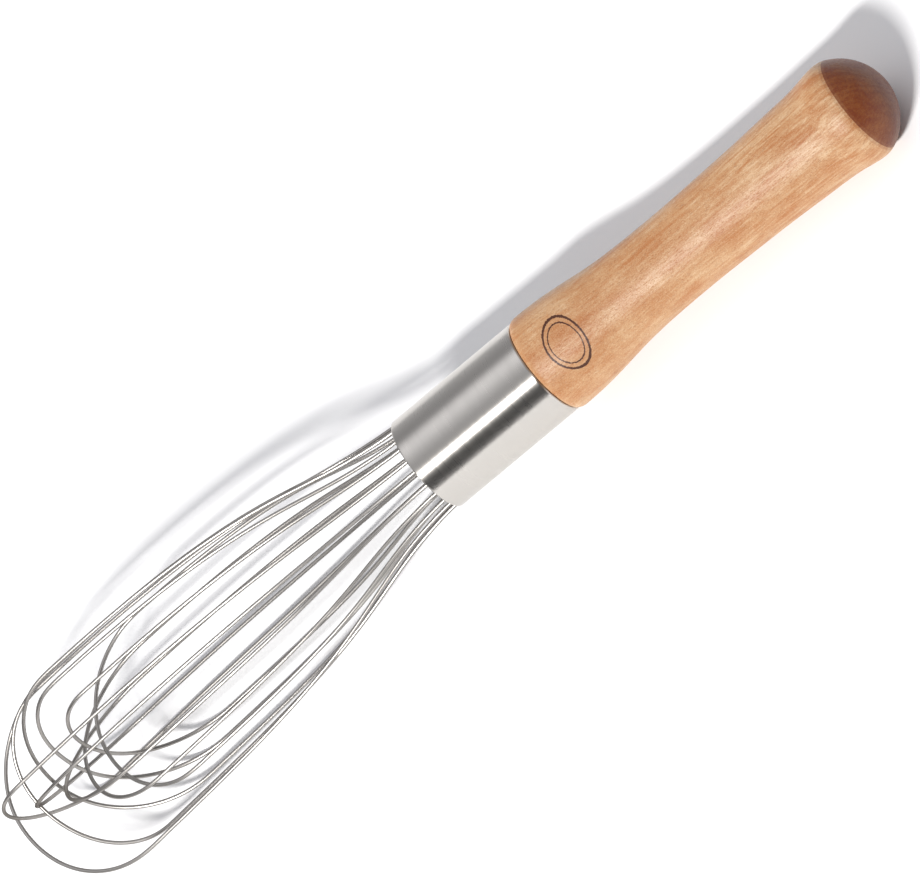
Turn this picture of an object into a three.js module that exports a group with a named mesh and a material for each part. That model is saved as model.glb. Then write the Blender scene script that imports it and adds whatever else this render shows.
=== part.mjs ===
// A balloon whisk: ten stainless wire loops set in a steel ferrule on a turned maple handle.
//
// Everything is modelled along the whisk's own axis first: +X runs from the mouth of the ferrule to
// the butt of the handle, and the basket of wires reaches out along -X. The finished whisk is then
// laid down on its basket and its butt, with +Z up and the handle towards +X. Millimetres.

import * as THREE from "three";

const { asin, cos, max, sin, PI } = Math;
const degrees = THREE.MathUtils.degToRad;

// Touching pieces keep this much air between them.
const FIT_GAP = 0.3;

// Ferrule: a plain drawn tube. Its mouth is at x = 0.
const FERRULE_LENGTH = 41.3;
const FERRULE_RADIUS = 14;
const FERRULE_WALL = 0.5;
const FERRULE_EDGE = 0.35; // rounding of the outer edge at each end
const FERRULE_BORE = FERRULE_RADIUS - FERRULE_WALL;
const ROUND_SIDES = 40; // facets round the ferrule and the handle

// Handle: a waisted grip with a rounded shoulder, a crisp rim and a domed butt.
const TENON_RADIUS = FERRULE_BORE - FIT_GAP;
const TENON_DEPTH = 17; // how far the tenon reaches into the ferrule
const TENON_CHAMFER = 1;
const GRIP_LENGTH = 108.5; // shoulder to rim
const RIM_RADIUS = 14.45;
const DOME_HEIGHT = 9.7;
const DOME_STEPS = 6;
const BUTT_FLAT_RADIUS = 2.5; // small sanded flat at the middle of the dome

// The grip's outline: distance from the shoulder, then radius.
const GRIP_OUTLINE = [
  [0, 13.9],
  [0.7, 14.3],
  [2.5, 14.5],
  [8, 14.33],
  [16, 13.62],
  [25, 12.55],
  [36, 11.95],
  [50, 11.87],
  [64, 12.2],
  [78, 12.68],
  [90, 13.3],
  [100, 14.1],
  [GRIP_LENGTH, RIM_RADIUS],
];

// Wire loops. Each is one length of spring wire: a leg out of the ferrule, a long flare, a rounded
// nose across the axis, and back. They stand about 18 degrees apart round the axis, and each nose
// crosses it at a reach of its own, so that no two wires touch where they cross.
const WIRE_RADIUS = 0.52;
const WIRE_SIDES = 6;
const WIRE_STEPS = 60;
const LEG_RING_RADIUS = 12.65; // the legs stand on this circle inside the mouth
const LEG_DEPTH = 20; // length of each leg inside the ferrule
const FLARE_SLOPE = 0.08; // widening per millimetre just outside the mouth
const FLARE_START = 0.31; // share of the flare that keeps about that slope
const FLARE_END = 0.73; // share of the flare over which the slope dies away

// angle: direction of a loop's first leg, in degrees about +X from +Y.
// reach: distance from the mouth to where the nose crosses the axis.
// first, second: half width of the loop and length of its nose, on the side of each leg.
const LOOPS = [
  { angle: 156, reach: 150, first: [30.6, 28.4], second: [26.1, 30.5] },
  { angle: 73, reach: 146.4, first: [24.2, 13.8], second: [25.3, 14.4] },
  { angle: 179.5, reach: 142, first: [26.7, 23.7], second: [22.5, 20.6] },
  { angle: 88, reach: 139.8, first: [26.3, 26.2], second: [26.4, 28.4] },
  { angle: 20, reach: 134.1, first: [25.1, 21.4], second: [25.7, 29.9] },
  { angle: 109, reach: 131.6, first: [28.5, 26.8], second: [20.8, 27] },
  { angle: 42, reach: 126.4, first: [27.2, 17.6], second: [26.6, 28.8] },
  { angle: 125, reach: 124, first: [28.4, 20.8], second: [23, 26] },
  { angle: 55, reach: 119.2, first: [23.2, 14.5], second: [25.5, 27] },
  { angle: 142, reach: 117.1, first: [26.3, 20.5], second: [25.2, 25.4] },
];

// The set of the wires carries the far end of the basket a little off the handle's axis.
const BASKET_REACH = 146.5;
const LEAN_Y = -4.4;
const LEAN_Z = -8.3;
const LEAN_POWER = 3;

// Resin plug that fills the ferrule round the wire legs.
const PLUG_RECESS = 2.5; // its face lies this far inside the mouth
const PLUG_LENGTH = 19;
const PLUG_RADIUS = FERRULE_BORE - FIT_GAP;
const NOTCH_RADIUS = WIRE_RADIUS + FIT_GAP;
const NOTCH_STEPS = 4;

// How the whisk lies, in degrees: turned about its axis, then butt down.
const LIE_ROLL = 35.49;
const LIE_PITCH = 3.44;

const steel = (color, roughness) => new THREE.MeshStandardMaterial({ color, roughness, metalness: 1 });
const plain = (color, roughness) => new THREE.MeshStandardMaterial({ color, roughness, metalness: 0 });

// A solid of revolution about the X axis. The outline is [x, radius] points that run along the
// outside in order of rising x, and either start and end on the axis or close on themselves.
function turned(outline) {
  const points = outline.map(([x, radius]) => new THREE.Vector2(radius, x));
  return new THREE.LatheGeometry(points, ROUND_SIDES).rotateZ(-PI / 2);
}

function ferruleGeometry() {
  const shoulder = FERRULE_RADIUS - FERRULE_EDGE;
  return turned([
    [0, FERRULE_BORE],
    [0, shoulder],
    [FERRULE_EDGE, FERRULE_RADIUS],
    [FERRULE_LENGTH - FERRULE_EDGE, FERRULE_RADIUS],
    [FERRULE_LENGTH, shoulder],
    [FERRULE_LENGTH, FERRULE_BORE],
    [0, FERRULE_BORE],
  ]);
}

// The dome is a spherical cap, from just past the rim to the small flat on the axis.
function domeOutline(rimX) {
  const radius = (RIM_RADIUS ** 2 + DOME_HEIGHT ** 2) / (2 * DOME_HEIGHT);
  const centre = rimX + DOME_HEIGHT - radius;
  const rimAngle = asin(RIM_RADIUS / radius);
  const flatAngle = asin(BUTT_FLAT_RADIUS / radius);
  const outline = [];
  for (let step = 1; step <= DOME_STEPS; step++) {
    const angle = rimAngle + ((flatAngle - rimAngle) * step) / DOME_STEPS;
    outline.push([centre + radius * cos(angle), radius * sin(angle)]);
  }
  return outline;
}

function handleGeometry() {
  const shoulderX = FERRULE_LENGTH + FIT_GAP;
  const tenonX = FERRULE_LENGTH - TENON_DEPTH;
  const dome = domeOutline(shoulderX + GRIP_LENGTH);
  return turned([
    [tenonX, 0],
    [tenonX, TENON_RADIUS - TENON_CHAMFER],
    [tenonX + TENON_CHAMFER, TENON_RADIUS],
    [shoulderX, TENON_RADIUS],
    ...GRIP_OUTLINE.map(([distance, radius]) => [shoulderX + distance, radius]),
    ...dome,
    [dome.at(-1)[0], 0],
  ]);
}

// One side of a loop in its own plane, drawn from the axis out when side is -1 and back to the
// mouth: a quarter of an ellipse, the flare, and the straight leg.
function addSide(path, reach, [halfWidth, noseLength], side) {
  const flare = reach - noseLength;
  const ring = side * LEG_RING_RADIUS;
  const slopeEnd = [-flare * FLARE_START, side * (LEG_RING_RADIUS + FLARE_SLOPE * flare * FLARE_START)];
  const easeStart = [-flare * (1 - FLARE_END), side * halfWidth];
  if (side > 0) {
    path.moveTo(LEG_DEPTH, ring).lineTo(0, ring);
    path.bezierCurveTo(...slopeEnd, ...easeStart, -flare, halfWidth);
    path.absellipse(-flare, 0, noseLength, halfWidth, PI / 2, PI);
  } else {
    path.absellipse(-flare, 0, noseLength, halfWidth, PI, 1.5 * PI);
    path.bezierCurveTo(...easeStart, ...slopeEnd, 0, ring).lineTo(LEG_DEPTH, ring);
  }
}

// The centre line of one wire: its flat outline, turned to the loop's angle and bent with the
// basket, whose cross-sections stay square to its leaning axis.
class LoopCurve extends THREE.Curve {
  constructor({ angle, reach, first, second }) {
    super();
    this.angle = degrees(angle);
    this.outline = new THREE.Path();
    addSide(this.outline, reach, first, 1);
    addSide(this.outline, reach, second, -1);
  }

  getPoint(t, target = new THREE.Vector3()) {
    const flat = this.outline.getPoint(t);
    const y = flat.y * cos(this.angle);
    const z = flat.y * sin(this.angle);
    const share = max(-flat.x, 0) / BASKET_REACH;
    const lean = share ** LEAN_POWER;
    const slope = (LEAN_POWER * share ** (LEAN_POWER - 1)) / BASKET_REACH;
    return target.set(flat.x + slope * (y * LEAN_Y + z * LEAN_Z), y + lean * LEAN_Y, z + lean * LEAN_Z);
  }
}

function wireGeometry(loop) {
  const section = new THREE.Shape();
  for (let side = 0; side < WIRE_SIDES; side++) {
    const angle = (2 * PI * side) / WIRE_SIDES;
    const point = [WIRE_RADIUS * cos(angle), WIRE_RADIUS * sin(angle)];
    if (side) section.lineTo(...point);
    else section.moveTo(...point);
  }
  return new THREE.ExtrudeGeometry(section, { steps: WIRE_STEPS, extrudePath: new LoopCurve(loop) });
}

// A disc with one round-bottomed notch in its edge for each leg. It is drawn facing +Z, where a leg's
// direction is its angle about +X plus a right angle, and then turned to face +X.
function plugGeometry() {
  const legs = LOOPS.flatMap(({ angle }) => [angle, angle + 180]).map((angle) => degrees(angle + 90));
  legs.sort((a, b) => a - b);
  const edgeHalfAngle = asin(NOTCH_RADIUS / PLUG_RADIUS);
  const edge = new THREE.Vector2(PLUG_RADIUS * cos(edgeHalfAngle), NOTCH_RADIUS);
  const points = legs.flatMap((leg) => {
    const bottom = [];
    for (let step = 0; step <= NOTCH_STEPS; step++) {
      const angle = 1.5 * PI - (PI * step) / NOTCH_STEPS;
      bottom.push(new THREE.Vector2(LEG_RING_RADIUS + NOTCH_RADIUS * cos(angle), NOTCH_RADIUS * sin(angle)));
    }
    const notch = [new THREE.Vector2(edge.x, -edge.y), ...bottom, edge];
    return notch.map((point) => point.clone().rotateAround(new THREE.Vector2(), leg));
  });
  const disc = new THREE.ExtrudeGeometry(new THREE.Shape(points), { depth: PLUG_LENGTH, bevelEnabled: false });
  return disc.rotateY(PI / 2).translate(PLUG_RECESS, 0, 0);
}

// The whisk on its own axis.
const whisk = new THREE.Group();

function addPart(name, geometry, material) {
  const mesh = new THREE.Mesh(geometry, material);
  mesh.name = name;
  whisk.add(mesh);
}

addPart("handle", handleGeometry(), plain(0xd9a066, 0.42));
addPart("ferrule", ferruleGeometry(), steel(0xb8b6b2, 0.35));
addPart("resin_plug", plugGeometry(), plain(0xb9b4a8, 0.6));
LOOPS.forEach((loop, index) => {
  const name = `wire_loop_${String(index + 1).padStart(2, "0")}`;
  addPart(name, wireGeometry(loop), steel(0xc6c5c2, 0.22));
});

// Laid down: the origin is under the middle of the whisk, on the surface it rests on.
whisk.rotation.x = degrees(LIE_ROLL);
const lying = new THREE.Group();
lying.rotation.y = degrees(LIE_PITCH);
lying.add(whisk);

const box = new THREE.Box3().setFromObject(lying, true);
const middle = box.getCenter(new THREE.Vector3());
lying.position.set(-middle.x, -middle.y, -box.min.z);

const part = new THREE.Group();
part.add(lying);

export default part;
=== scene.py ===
"""A balloon whisk lying on a white table: turned maple handle, brushed steel ferrule, ten wire loops.

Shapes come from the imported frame. Each CAD solid gives its outline or its centre line, and the piece
built here follows that line with a fine, smooth surface. Lengths are in metres, or in millimetres
where a comment says so.
"""

from math import cos, pi, radians, sin

import bmesh
import bpy
import numpy as np
from mathutils import Matrix, Vector


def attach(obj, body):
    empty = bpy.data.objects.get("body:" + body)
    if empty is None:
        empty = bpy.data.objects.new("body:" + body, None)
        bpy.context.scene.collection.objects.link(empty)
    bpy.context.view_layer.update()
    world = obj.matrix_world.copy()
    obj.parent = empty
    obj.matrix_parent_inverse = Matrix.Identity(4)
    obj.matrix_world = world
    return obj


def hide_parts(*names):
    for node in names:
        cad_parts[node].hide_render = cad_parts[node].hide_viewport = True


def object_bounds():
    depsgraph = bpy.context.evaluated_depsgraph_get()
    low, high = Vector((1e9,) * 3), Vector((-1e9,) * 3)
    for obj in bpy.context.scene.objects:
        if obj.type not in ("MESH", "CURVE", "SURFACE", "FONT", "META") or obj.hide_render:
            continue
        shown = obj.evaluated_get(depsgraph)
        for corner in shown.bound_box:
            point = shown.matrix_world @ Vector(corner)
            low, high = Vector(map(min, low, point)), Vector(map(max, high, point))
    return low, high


MM = 0.001
SAME_PLACE = 0.01 * MM  # points closer than this count as one

# How the whisk lies: turned about its own axis, then butt down.
LIE_ROLL = radians(35.49)
LIE_PITCH = radians(3.44)

# Handle and ferrule
ROUND_SIDES = 160
OUTLINE_STEP = 0.8 * MM
CORNER_ANGLE = radians(35)  # where an outline turns by more than this it has a corner
EDGE_ROUNDING = 0.3 * MM
EDGE_STEPS = 5

# Wires
WIRE_RADIUS = 0.52 * MM
WIRE_SIDES = 16
WIRE_STEP = 1.0 * MM
RING_REACH = 2.1 * WIRE_RADIUS  # a ring's corners lie no further apart than this
RING_DEPTH = 0.05 * MM  # and the first ring's are level to within this
TIE_BREAK = 0.001  # share of the height that picks the upper leg where two reach equally far

# Resin seal round the wire legs
SEAL_RING_STEP = 0.2 * MM
SEAL_FINE_WIDTH = 2.6 * MM  # the rim where the wires stand
SEAL_COARSE_STEP = 1.5 * MM  # inside that rim
SEAL_CLIMB = 0.6 * MM  # how far the resin climbs the wires and the tube
SEAL_CLIMB_WIDTH = 0.4 * MM
SEAL_DISH = 0.4 * MM  # how far its middle sank as it set

# Camera: it looks down on the basket's upper side, with the butt tilted towards it.
VIEW_TILT = radians(16.4)
VIEW_TURN = radians(39.88)  # puts the handle at the upper right of the picture
VIEW_DISTANCE = 8.0
VIEW_WIDTH = 237.6 * MM  # width of the picture at the whisk
VIEW_AIM = (10.57 * MM, 0.71 * MM)  # its centre: along the axis from the mouth, and to the right of it
SENSOR_WIDTH = 36.0  # in millimetres

# Table and light
FLOOR_SIZE = 40.0
FLOOR_COLOUR = (0.94, 0.943, 0.95, 1.0)
FLOOR_ROUGHNESS = 0.9
KEY_DIRECTION = Vector((-0.228, -0.663, 0.7125))
KEY_DISTANCE = 3.0
KEY_SIZE = (0.70, 0.20)
KEY_POWER = 105.0
KEY_COLOUR = (1.0, 0.985, 0.965)

# The room's light from above, by angle about +X from the +Y horizon: (degrees, strength).
ROOM_LIGHT = [
    (0, 0.46),
    (30, 0.34),
    (42, 0.34),
    (49, 0.44),
    (58, 0.84),
    (68, 1.04),
    (80, 0.92),
    (92, 0.69),
    (106, 0.49),
    (122, 0.42),
    (140, 0.22),
    (154, 0.08),
    (172, 0.05),
    (180, 0.06),
]
ROOM_STRENGTH = 1.10
ROOM_COLOUR = (0.985, 0.985, 1.02)

# The room is brighter beyond the basket than beyond the butt.
LIGHT_FROM_BASKET_END = 1.12
LIGHT_FROM_BUTT_END = 0.70

# It is also brighter over the whisk's middle than beyond either end.
LIGHT_OVER_MIDDLE = 1.22
LIGHT_LOST_AT_ENDS = 0.85

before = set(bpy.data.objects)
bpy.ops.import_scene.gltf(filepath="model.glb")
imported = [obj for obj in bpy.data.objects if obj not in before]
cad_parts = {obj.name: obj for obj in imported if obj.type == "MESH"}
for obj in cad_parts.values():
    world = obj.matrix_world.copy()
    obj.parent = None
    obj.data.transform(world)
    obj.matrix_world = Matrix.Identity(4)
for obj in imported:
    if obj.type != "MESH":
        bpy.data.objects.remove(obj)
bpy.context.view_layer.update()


# ---------------------------------------------------------------- the whisk's own axis

# The own frame has +X from the ferrule's mouth to the butt. TURN takes its directions to the row frame.
TURN = Matrix.Rotation(LIE_PITCH, 3, "Y") @ Matrix.Rotation(LIE_ROLL, 3, "X")


def cad_points(node):
    """A CAD solid's corners in the row frame, one row each."""
    return np.array([v.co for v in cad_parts[node].data.vertices], float)


def find_mouth():
    """The middle of the ferrule's open end, where the own frame has its origin."""
    points = cad_points("ferrule")
    along = points @ np.array(TURN.col[0])
    end = points[along < along.min() + SAME_PLACE]
    each_once = np.unique(np.round(end, 6), axis=0)
    return Vector(each_once.mean(axis=0))


MOUTH = find_mouth()


def to_own(points):
    """Row-frame points in the whisk's own frame."""
    return (np.asarray(points) - np.array(MOUTH)) @ np.array(TURN)


def to_row(points):
    """Own-frame points in the row frame."""
    return np.asarray(points) @ np.array(TURN).T + np.array(MOUTH)


# ---------------------------------------------------------------- lines and meshes


def smooth_line(points, step, skip=(0.0, 0.0)):
    """A natural cubic spline through the points, sampled at about step, without its skipped ends."""
    points = np.asarray(points, float)
    gaps = np.linalg.norm(np.diff(points, axis=0), axis=1)
    knots = np.concatenate([[0], np.cumsum(gaps)])
    count = len(points)
    system = np.eye(count)
    target = np.zeros_like(points)
    slopes = np.diff(points, axis=0) / gaps[:, None]
    for i in range(1, count - 1):
        system[i, i - 1 : i + 2] = gaps[i - 1], 2 * (gaps[i - 1] + gaps[i]), gaps[i]
        target[i] = 6 * (slopes[i] - slopes[i - 1])
    bend = np.linalg.solve(system, target)
    start, end = skip[0], knots[-1] - skip[1]
    at = np.linspace(start, end, max(2, round((end - start) / step) + 1))
    i = np.clip(np.searchsorted(knots, at, side="right") - 1, 0, count - 2)
    gap = gaps[i][:, None]
    after = (at - knots[i])[:, None] / gap
    before = 1 - after
    curve = (before**3 - before) * bend[i] + (after**3 - after) * bend[i + 1]
    return before * points[i] + after * points[i + 1] + curve * gap**2 / 6


def ring_faces(rings, sides, closed=False):
    """Quads between rings of points that follow each other, with the same number of sides."""
    faces = []
    for ring in range(rings if closed else rings - 1):
        here = ring * sides
        there = (ring + 1) % rings * sides
        for side in range(sides):
            other = (side + 1) % sides
            faces.append((here + side, here + other, there + other, there + side))
    return faces


def make_piece(name, own_points, faces, node, material):
    """A smooth piece from points in the own frame, which takes the place of one CAD node."""
    mesh = bpy.data.meshes.new(name)
    mesh.from_pydata([tuple(p) for p in to_row(own_points)], [], faces)
    cleaned = bmesh.new()
    cleaned.from_mesh(mesh)
    bmesh.ops.recalc_face_normals(cleaned, faces=cleaned.faces)
    cleaned.to_mesh(mesh)
    cleaned.free()
    mesh.shade_smooth()
    mesh.set_sharp_from_angle(angle=CORNER_ANGLE)
    mesh.materials.append(material)
    piece = bpy.data.objects.new(name, mesh)
    bpy.context.scene.collection.objects.link(piece)
    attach(piece, "root")
    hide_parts(node)


# ---------------------------------------------------------------- turned pieces


def outline_of(node):
    """A turned CAD solid's outline: (distance along the axis, radius) rows, by rising distance."""
    own = to_own(cad_points(node))
    pairs = np.column_stack([own[:, 0], np.hypot(own[:, 1], own[:, 2])])
    _, group = np.unique(np.round(pairs, 5), axis=0, return_inverse=True)  # equal to 0.01 mm
    group = group.reshape(-1)
    return np.array([pairs[group == i].mean(axis=0) for i in range(group.max() + 1)])


def split_at_corners(outline):
    """The outline as runs of points, each of which a smooth line can follow."""
    runs, run = [], [outline[0]]
    for before, here, after in zip(outline, outline[1:], outline[2:]):
        run.append(here)
        if Vector(here - before).angle(Vector(after - here)) > CORNER_ANGLE:
            runs.append(run)
            run = [here]
    return [*runs, [*run, outline[-1]]]


def fine_outline(outline):
    """The outline as a fine line: smooth between its corners, and rounded over at each of them."""
    runs = split_at_corners(outline)
    line = []
    for index, run in enumerate(runs):
        rounding = min(EDGE_ROUNDING, np.linalg.norm(run[-1] - run[0]) / 3)
        skip = (rounding if index else 0, rounding if index + 1 < len(runs) else 0)
        stretch = list(smooth_line(run, OUTLINE_STEP, skip))
        if index:
            before, corner, after = line[-1], run[0], stretch[0]
            for step in range(1, EDGE_STEPS):
                t = step / EDGE_STEPS
                line.append(before * (1 - t) ** 2 + corner * 2 * t * (1 - t) + after * t**2)
        line += stretch
    return line


def turned(line, closed=False):
    """Points and faces of the solid that a line of (distance, radius) points sweeps round the axis."""
    rings = [(x, radius) for x, radius in line if radius > SAME_PLACE]
    angles = np.arange(ROUND_SIDES) * 2 * pi / ROUND_SIDES
    points = [(x, radius * cos(a), radius * sin(a)) for x, radius in rings for a in angles]
    faces = ring_faces(len(rings), ROUND_SIDES, closed)
    if not closed:
        for pole, ring in ((line[0], 0), (line[-1], len(rings) - 1)):
            first = ring * ROUND_SIDES
            for side in range(ROUND_SIDES):
                faces.append((len(points), first + side, first + (side + 1) % ROUND_SIDES))
            points.append((pole[0], 0.0, 0.0))
    return np.array(points), faces


def build_handle(material):
    outline = outline_of("handle")
    outline[-2:] = outline[-2:][::-1].copy()  # the butt's flat runs back to the axis
    points, faces = turned(fine_outline(outline))
    make_piece("turned_handle", points, faces, "handle", material)


def build_ferrule(material):
    corners = outline_of("ferrule")
    on_bore = corners[:, 1] < corners[:, 1].min() + SAME_PLACE
    mouth_edge, far_edge = corners[on_bore]
    start = (mouth_edge + far_edge) / 2  # the wall's outline starts and ends half-way along the bore
    line = fine_outline(np.array([start, mouth_edge, *corners[~on_bore], far_edge, start]))[:-1]
    points, faces = turned(line, closed=True)
    make_piece("brushed_ferrule", points, faces, "ferrule", material)


# ---------------------------------------------------------------- wires and seal


def centre_line(node):
    """A wire's centre line in the own frame: the middle of each ring of corners, from end to end."""
    rings = bmesh.new()
    rings.from_mesh(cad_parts[node].data)
    bmesh.ops.remove_doubles(rings, verts=rings.verts, dist=SAME_PLACE)
    along = Vector(TURN.col[0])
    # The first ring is at the end of one leg: the corners that are near the furthest one and level with it.
    end = max(rings.verts, key=lambda v: v.co.dot(along) + v.co.z * TIE_BREAK)
    near = [v for v in rings.verts if (v.co - end.co).length < RING_REACH]
    ring = {v for v in near if abs((v.co - end.co).dot(along)) < RING_DEPTH}
    seen, middles = set(ring), []
    while ring:
        corners = sorted(tuple(v.co) for v in ring)  # in a fixed order, so that every run adds up the same
        middles.append(np.mean(corners, axis=0))
        ring = {edge.other_vert(v) for v in ring for edge in v.link_edges} - seen
        seen |= ring
    rings.free()
    return to_own(middles)


def build_wire(number, material):
    """One wire loop: a round wire along the CAD wire's centre line, in the line's own turning frame."""
    node = f"wire_loop_{number:02d}"
    line = smooth_line(centre_line(node), WIRE_STEP)
    along = np.gradient(line, axis=0)
    along /= np.linalg.norm(along, axis=1)[:, None]
    side = np.array([0.0, 0.0, 1.0])
    angles = np.arange(WIRE_SIDES) * 2 * pi / WIRE_SIDES
    points = []
    for middle, direction in zip(line, along):
        side = side - side.dot(direction) * direction
        side /= np.linalg.norm(side)
        other = np.cross(direction, side)
        points += [middle + WIRE_RADIUS * (side * cos(a) + other * sin(a)) for a in angles]
    faces = ring_faces(len(line), WIRE_SIDES)
    faces += [tuple(range(WIRE_SIDES)), tuple(range(len(points) - WIRE_SIDES, len(points)))]
    make_piece(f"round_wire_{number:02d}", np.array(points), faces, node, material)
    return line


def build_seal(wire_lines, material):
    """The cast plug inside the ferrule, its face dished and drawn up round each wire leg."""
    own = to_own(cad_points("resin_plug"))
    front, back = own[:, 0].min(), own[:, 0].max()
    bore = outline_of("ferrule")[:, 1].min()
    fine = bore - SEAL_FINE_WIDTH
    radii = [*np.arange(0, fine, SEAL_COARSE_STEP), *np.arange(fine, bore, SEAL_RING_STEP), bore]
    line = [(front, radius) for radius in radii] + [(back, bore), (back, 0.0)]
    points, faces = turned(line)
    legs = np.array([end[1:] for wire in wire_lines for end in (wire[0], wire[-1])])
    for point in points:
        if point[0] > front + SAME_PLACE:
            continue
        radius = np.hypot(point[1], point[2])
        to_leg = np.linalg.norm(legs - point[1:], axis=1).min() - WIRE_RADIUS
        nearest = max(min(to_leg, bore - radius), 0.0)
        climb = SEAL_CLIMB * np.exp(-nearest / SEAL_CLIMB_WIDTH)
        point[0] += SEAL_DISH * (1 - (radius / bore) ** 2) - climb
    make_piece("resin_seal", points, faces, "resin_plug", material)


# ---------------------------------------------------------------- materials


class Nodes:
    """A node tree, and short calls that add nodes to it."""

    def __init__(self, tree):
        self.tree = tree

    def add(self, kind, output=0, inputs=None, **settings):
        """A new node's output. Inputs are values or other nodes' outputs, by name or by number."""
        node = self.tree.nodes.new(kind)
        for name, value in settings.items():
            setattr(node, name, value)
        for name, value in (inputs or {}).items():
            self.connect(node.inputs[name], value)
        return node.outputs[output]

    def connect(self, socket, value):
        if isinstance(value, bpy.types.NodeSocket):
            self.tree.links.new(value, socket)
        else:
            socket.default_value = value

    def math(self, operation, *values, clamp=False):
        inputs = dict(enumerate(values))
        return self.add("ShaderNodeMath", inputs=inputs, operation=operation, use_clamp=clamp)

    def vector(self, operation, *values, output=0):
        """The result of a vector operation: a vector, or a number where output is 1."""
        inputs = dict(enumerate(values))
        return self.add("ShaderNodeVectorMath", output, inputs, operation=operation)

    def noise(self, place, stretch, detail=2.0, roughness=0.5, output=0):
        """Noise whose features are about 1 / stretch long in each direction."""
        inputs = {
            "Vector": self.vector("MULTIPLY", place, stretch),
            "Scale": 1.0,
            "Detail": detail,
            "Roughness": roughness,
        }
        return self.add("ShaderNodeTexNoise", output, inputs)

    def fit(self, value, low, high, new_low=0.0, new_high=1.0, smooth=False):
        """The value's range from low to high, taken to the new range and held there."""
        inputs = {0: value, 1: low, 2: high, 3: new_low, 4: new_high}
        kind = "SMOOTHSTEP" if smooth else "LINEAR"
        return self.add("ShaderNodeMapRange", inputs=inputs, interpolation_type=kind)

    def ramp(self, value, stops):
        """A colour for each value, from (place, colour) stops."""
        ramp = self.add("ShaderNodeValToRGB", inputs={0: value})
        elements = ramp.node.color_ramp.elements
        while len(elements) < len(stops):
            elements.new(0.5)
        for element, (place, colour) in zip(elements, stops):
            element.position = place
            element.color = (*colour, 1.0)
        return ramp

    def mix(self, share, first, second, blend="MIX"):
        """The second colour mixed into the first. The node's colour sockets are 6, 7 and output 2."""
        first, second = ((*c, 1.0) if isinstance(c, tuple) else c for c in (first, second))
        inputs = {0: share, 6: first, 7: second}
        return self.add("ShaderNodeMix", 2, inputs, data_type="RGBA", blend_type=blend)

    def bump(self, height, distance):
        inputs = {"Height": height, "Distance": distance, "Strength": 1.0}
        return self.add("ShaderNodeBump", inputs=inputs)


def new_material(name, **settings):
    """A material's nodes and its Principled shader, with these of its sockets set."""
    material = bpy.data.materials.new(name)
    material.use_nodes = True
    shader = material.node_tree.nodes["Principled BSDF"]
    for socket, value in settings.items():
        shader.inputs[socket.replace("_", " ")].default_value = value
    return material, Nodes(material.node_tree), shader.inputs


def own_place(nodes):
    """The shaded point in the whisk's own frame, in millimetres."""
    place = nodes.add("ShaderNodeTexCoord", "Object")
    inputs = {"Vector": place, "Location": MOUTH, "Rotation": TURN.to_euler(), "Scale": (MM, MM, MM)}
    return nodes.add("ShaderNodeMapping", inputs=inputs, vector_type="TEXTURE")


NOISE_RANGE = (0.3, 0.7)  # most of a noise's values lie in it

PALE_MAPLE = (0.61, 0.43, 0.262)
TAN_MAPLE = (0.50, 0.28, 0.134)
ORANGE_MAPLE = (0.415, 0.165, 0.053)
DARK_FLECK = (0.27, 0.085, 0.022)
BURN = (0.07, 0.018, 0.005)
END_GRAIN = (0.365, 0.16, 0.056)  # the share of each colour that the dome's end grain keeps
PITH = (0.0, 34.0, -22.0)  # the middle of the growth rings, off the axis, in millimetres
RING_WIDTH = 3.0  # in millimetres
WANDER = 14.0  # how far the rings stray, in millimetres
STREAKY_FROM = (75.0, 135.0)  # the grain grows more streaky over this stretch from the mouth, in mm
DOME_FACING = (0.28, 0.45)  # how far a surface faces the butt's end where the dome's end grain begins
BASE_TONE = 0.54  # lower is paler, higher more orange
PORE_LEVELS = (0.62, 0.72)  # only the noise's peaks are pores
PORE_SHARE = 0.45  # how much of the dark fleck's colour a pore takes
MAPLE_RELIEF = 0.08 * MM
MARK_PLACE = (53.5, 1.0, 0.0)  # a plain burned mark, two ovals one inside the other, in millimetres
MARK_HALF_SIZE = (5.6, 7.8)  # along and across the grip, in millimetres
MARK_OVALS = ((0.95, 0.045), (0.74, 0.025))  # each line's place and half its width, as shares of that


def burned_mark(nodes, place):
    """1 on the lines of the plain mark that is burned into the top of the grip, and 0 off them."""
    shares = (1 / MARK_HALF_SIZE[0], 1 / MARK_HALF_SIZE[1], 0.0)
    offset = nodes.vector("MULTIPLY", nodes.vector("SUBTRACT", place, MARK_PLACE), shares)
    bleed = nodes.fit(nodes.noise(place, (2.0, 2.0, 2.0), 2.0), 0.2, 0.8, -0.02, 0.02)
    reach = nodes.math("ADD", nodes.vector("LENGTH", offset, output=1), bleed)
    lines = 0.0
    for oval, half_width in MARK_OVALS:
        lines = nodes.math("ADD", lines, nodes.math("COMPARE", reach, oval, half_width))
    height = nodes.add("ShaderNodeSeparateXYZ", 2, {0: place})
    on_top = nodes.math("GREATER_THAN", height, 0.0)
    return nodes.math("MULTIPLY", lines, on_top)


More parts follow.
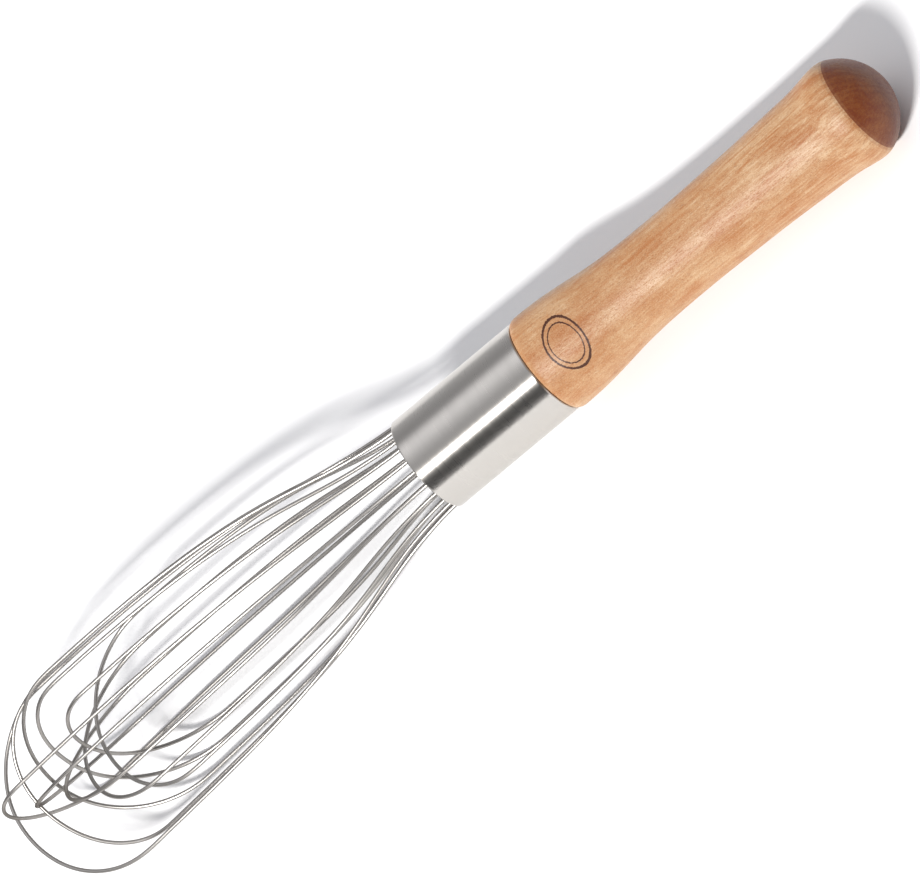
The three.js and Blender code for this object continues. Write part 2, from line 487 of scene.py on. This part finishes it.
def maple():
    """Turned maple: growth rings, fine streaks and flecks along the grain, and darker end grain."""
    material, nodes, shader = new_material(
        "maple_satin", Diffuse_Roughness=0.8, IOR=1.38, Coat_Weight=0.28, Coat_Roughness=0.32
    )
    place = own_place(nodes)
    stray = nodes.noise(place, (0.022, 0.06, 0.06), 2.0, output=1)
    stray = nodes.vector("MULTIPLY", nodes.vector("SUBTRACT", stray, (0.5,) * 3), (2 * WANDER,) * 3)
    across = nodes.vector("MULTIPLY", nodes.vector("ADD", place, stray), (0.0, 1.0, 1.0))
    depth = nodes.vector("DISTANCE", across, PITH, output=1)
    rings = nodes.math("SINE", nodes.math("MULTIPLY", depth, 2 * pi / RING_WIDTH))
    normal = nodes.add("ShaderNodeNewGeometry", "True Normal")
    facing_end = nodes.vector("DOT_PRODUCT", normal, tuple(TURN.col[0]), output=1)
    endwise = nodes.fit(facing_end, *DOME_FACING, smooth=True)
    from_mouth = nodes.add("ShaderNodeSeparateXYZ", inputs={0: place})
    butt_end = nodes.fit(from_mouth, *STREAKY_FROM, smooth=True)
    streaks = nodes.noise(place, (0.07, 1.5, 1.5), 4.0, 0.6)
    specks = nodes.noise(place, (2.4, 3.8, 3.8), 2.0, 0.6)
    blotches = nodes.noise(place, (0.08, 0.17, 0.17), 4.0, 0.6)
    layers = (  # each pattern and how much it moves the tone
        (streaks, nodes.fit(butt_end, 0.0, 1.0, 0.55, 1.2)),
        (specks, 0.9),
        (blotches, 1.1),
        (nodes.fit(rings, -1.0, 1.0), nodes.fit(endwise, 0.0, 1.0, 0.08, 0.22)),
    )
    tone = BASE_TONE
    for layer, weight in layers:
        tone = nodes.math("MULTIPLY_ADD", nodes.math("SUBTRACT", layer, 0.5), weight, tone)
    colour = nodes.ramp(tone, [(0.16, PALE_MAPLE), (0.50, TAN_MAPLE), (0.82, ORANGE_MAPLE)])
    pores = nodes.fit(nodes.noise(place, (0.9, 5.0, 5.0), 1.0), *PORE_LEVELS, smooth=True)
    colour = nodes.mix(nodes.math("MULTIPLY", pores, PORE_SHARE), colour, DARK_FLECK)
    mark = burned_mark(nodes, place)
    colour = nodes.mix(mark, colour, BURN)
    end_colour = nodes.mix(1.0, colour, END_GRAIN, "MULTIPLY")
    nodes.connect(shader["Base Color"], nodes.mix(endwise, colour, end_colour))
    nodes.connect(shader["Roughness"], nodes.fit(streaks, *NOISE_RANGE, 0.45, 0.56))
    relief = nodes.math("MULTIPLY_ADD", pores, -0.5, nodes.math("MULTIPLY_ADD", specks, 0.8, streaks))
    bump = nodes.bump(nodes.math("SUBTRACT", relief, mark), MAPLE_RELIEF)
    nodes.connect(shader["Normal"], bump)
    nodes.connect(shader["Coat Normal"], bump)
    return material


FERRULE_STEEL = (0.585, 0.562, 0.528, 1.0)
WIRE_STEEL = (0.378, 0.362, 0.343, 1.0)
WIRE_EDGE_TINT = (0.20, 0.19, 0.18, 1.0)
STEEL_RELIEF = 0.004 * MM
DARK_RESIN = (0.44, 0.42, 0.38)
PALE_RESIN = (0.60, 0.58, 0.53)
RESIN_RELIEF = 0.05 * MM


def ferrule_steel():
    """Stainless tube, brushed round and round: it blurs what it reflects along its length."""
    material, nodes, shader = new_material(
        "steel_brushed_round",
        Base_Color=FERRULE_STEEL,
        Metallic=1.0,
        Anisotropic=0.95,
        Anisotropic_Rotation=0.25,
    )
    place = own_place(nodes)
    lines = nodes.noise(place, (7.0, 0.12, 0.12), 3.0, 0.7)
    broad = nodes.noise(place, (0.5, 0.06, 0.06), 2.0)
    fine_roughness = nodes.fit(lines, *NOISE_RANGE, 0.27, 0.34)
    broad_roughness = nodes.fit(broad, *NOISE_RANGE, -0.02, 0.02)
    nodes.connect(shader["Roughness"], nodes.math("ADD", fine_roughness, broad_roughness))
    nodes.connect(shader["Normal"], nodes.bump(lines, STEEL_RELIEF))
    nodes.connect(shader["Tangent"], nodes.add("ShaderNodeTangent", direction_type="RADIAL", axis="X"))
    return material


def wire_steel():
    """Drawn spring wire, a little darker where it turns away."""
    material, nodes, shader = new_material(
        "steel_drawn",
        Base_Color=WIRE_STEEL,
        Specular_Tint=WIRE_EDGE_TINT,
        Metallic=1.0,
    )
    place = own_place(nodes)
    smears = nodes.noise(place, (0.12, 0.5, 0.5), 3.0, 0.6)
    nodes.connect(shader["Roughness"], nodes.fit(smears, *NOISE_RANGE, 0.29, 0.37))
    die_marks = nodes.noise(place, (0.3, 2.0, 2.0), 2.0)
    nodes.connect(shader["Normal"], nodes.bump(die_marks, STEEL_RELIEF))
    return material


def resin():
    """Cast resin, dull and faintly cloudy."""
    material, nodes, shader = new_material("resin_cast", IOR=1.52)
    place = own_place(nodes)
    clouds = nodes.noise(place, (0.35, 0.35, 0.35), 4.0, 0.6)
    dimples = nodes.noise(place, (1.5, 1.5, 1.5), 3.0)
    nodes.connect(shader["Base Color"], nodes.ramp(clouds, [(0.3, DARK_RESIN), (0.7, PALE_RESIN)]))
    nodes.connect(shader["Roughness"], nodes.fit(clouds, *NOISE_RANGE, 0.45, 0.6))
    nodes.connect(shader["Normal"], nodes.bump(dimples, RESIN_RELIEF))
    return material


# ---------------------------------------------------------------- the pieces

build_handle(maple())
build_ferrule(ferrule_steel())
drawn_wire = wire_steel()
wire_count = sum(name.startswith("wire_loop_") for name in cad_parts)
wire_lines = [build_wire(number, drawn_wire) for number in range(1, wire_count + 1)]
build_seal(wire_lines, resin())


# ---------------------------------------------------------------- table, light and camera


def build_floor():
    """A white table top under the lowest wire."""
    half = FLOOR_SIZE / 2
    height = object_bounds()[0][2]
    corners = [(x, y, height) for x, y in ((-half, -half), (half, -half), (half, half), (-half, half))]
    mesh = bpy.data.meshes.new("table_top")
    mesh.from_pydata(corners, [], [(0, 1, 2, 3)])
    material, _, _ = new_material("table_white", Base_Color=FLOOR_COLOUR, Roughness=FLOOR_ROUGHNESS)
    mesh.materials.append(material)
    floor = bpy.data.objects.new("table_top", mesh)
    bpy.context.scene.collection.objects.link(floor)


def place_looking(thing, position, back, right):
    """Puts a camera or a light at a position, facing away from back, with its +X near right."""
    back = Vector(back).normalized()
    up = back.cross(Vector(right)).normalized()
    turn = Matrix((up.cross(back), up, back)).transposed()
    thing.matrix_world = Matrix.Translation(position) @ turn.to_4x4()


def build_key():
    """A strip softbox along X, up and out on the -Y side, which throws the shadow towards +Y."""
    light = bpy.data.lights.new("key_softbox", "AREA")
    light.shape = "RECTANGLE"
    light.size, light.size_y = KEY_SIZE
    light.color = KEY_COLOUR
    light.energy = KEY_POWER
    key = bpy.data.objects.new("key_softbox", light)
    bpy.context.scene.collection.objects.link(key)
    place_looking(key, KEY_DIRECTION.normalized() * KEY_DISTANCE, KEY_DIRECTION, (1, 0, 0))


def build_world():
    """A pale studio: dark low down on the -Y side, with a broad soft light overhead."""
    world = bpy.data.worlds.new("studio")
    bpy.context.scene.world = world
    world.use_nodes = True
    nodes = Nodes(world.node_tree)
    towards = nodes.add("ShaderNodeTexCoord", "Generated")
    split = nodes.add("ShaderNodeSeparateXYZ", inputs={0: towards}).node.outputs
    angle = nodes.math("ABSOLUTE", nodes.math("ARCTAN2", split["Z"], split["Y"]))
    stops = [(at / 180, tuple(share * c for c in ROOM_COLOUR)) for at, share in ROOM_LIGHT]
    light = nodes.ramp(nodes.math("DIVIDE", angle, pi), stops)
    side = nodes.fit(split["X"], -1.0, 1.0, LIGHT_FROM_BASKET_END, LIGHT_FROM_BUTT_END)
    endwise = nodes.math("MULTIPLY", split["X"], split["X"])
    middle = nodes.math("MULTIPLY_ADD", endwise, -LIGHT_LOST_AT_ENDS, LIGHT_OVER_MIDDLE)
    strength = nodes.math("MULTIPLY", nodes.math("MULTIPLY", side, middle), ROOM_STRENGTH)
    background = world.node_tree.nodes["Background"].inputs
    nodes.connect(background["Color"], light)
    nodes.connect(background["Strength"], strength)


def build_camera():
    """A long lens far away, so that the picture has hardly any perspective."""
    along = Vector((cos(VIEW_TILT), 0, -sin(VIEW_TILT)))
    across = Vector((0, -1, 0))
    back = TURN @ Vector((sin(VIEW_TILT), 0, cos(VIEW_TILT)))
    right = TURN @ (along * cos(VIEW_TURN) + across * sin(VIEW_TURN))
    aim = MOUTH + TURN @ (along * VIEW_AIM[0] + across * VIEW_AIM[1])
    data = bpy.data.cameras.new("camera")
    data.sensor_width = SENSOR_WIDTH
    data.lens = SENSOR_WIDTH * VIEW_DISTANCE / VIEW_WIDTH
    camera = bpy.data.objects.new("camera", data)
    bpy.context.scene.collection.objects.link(camera)
    place_looking(camera, aim + back * VIEW_DISTANCE, back, right)
    bpy.context.scene.camera = camera


build_floor()
build_key()
build_world()
build_camera()
bpy.context.scene.view_settings.view_transform = "Standard"
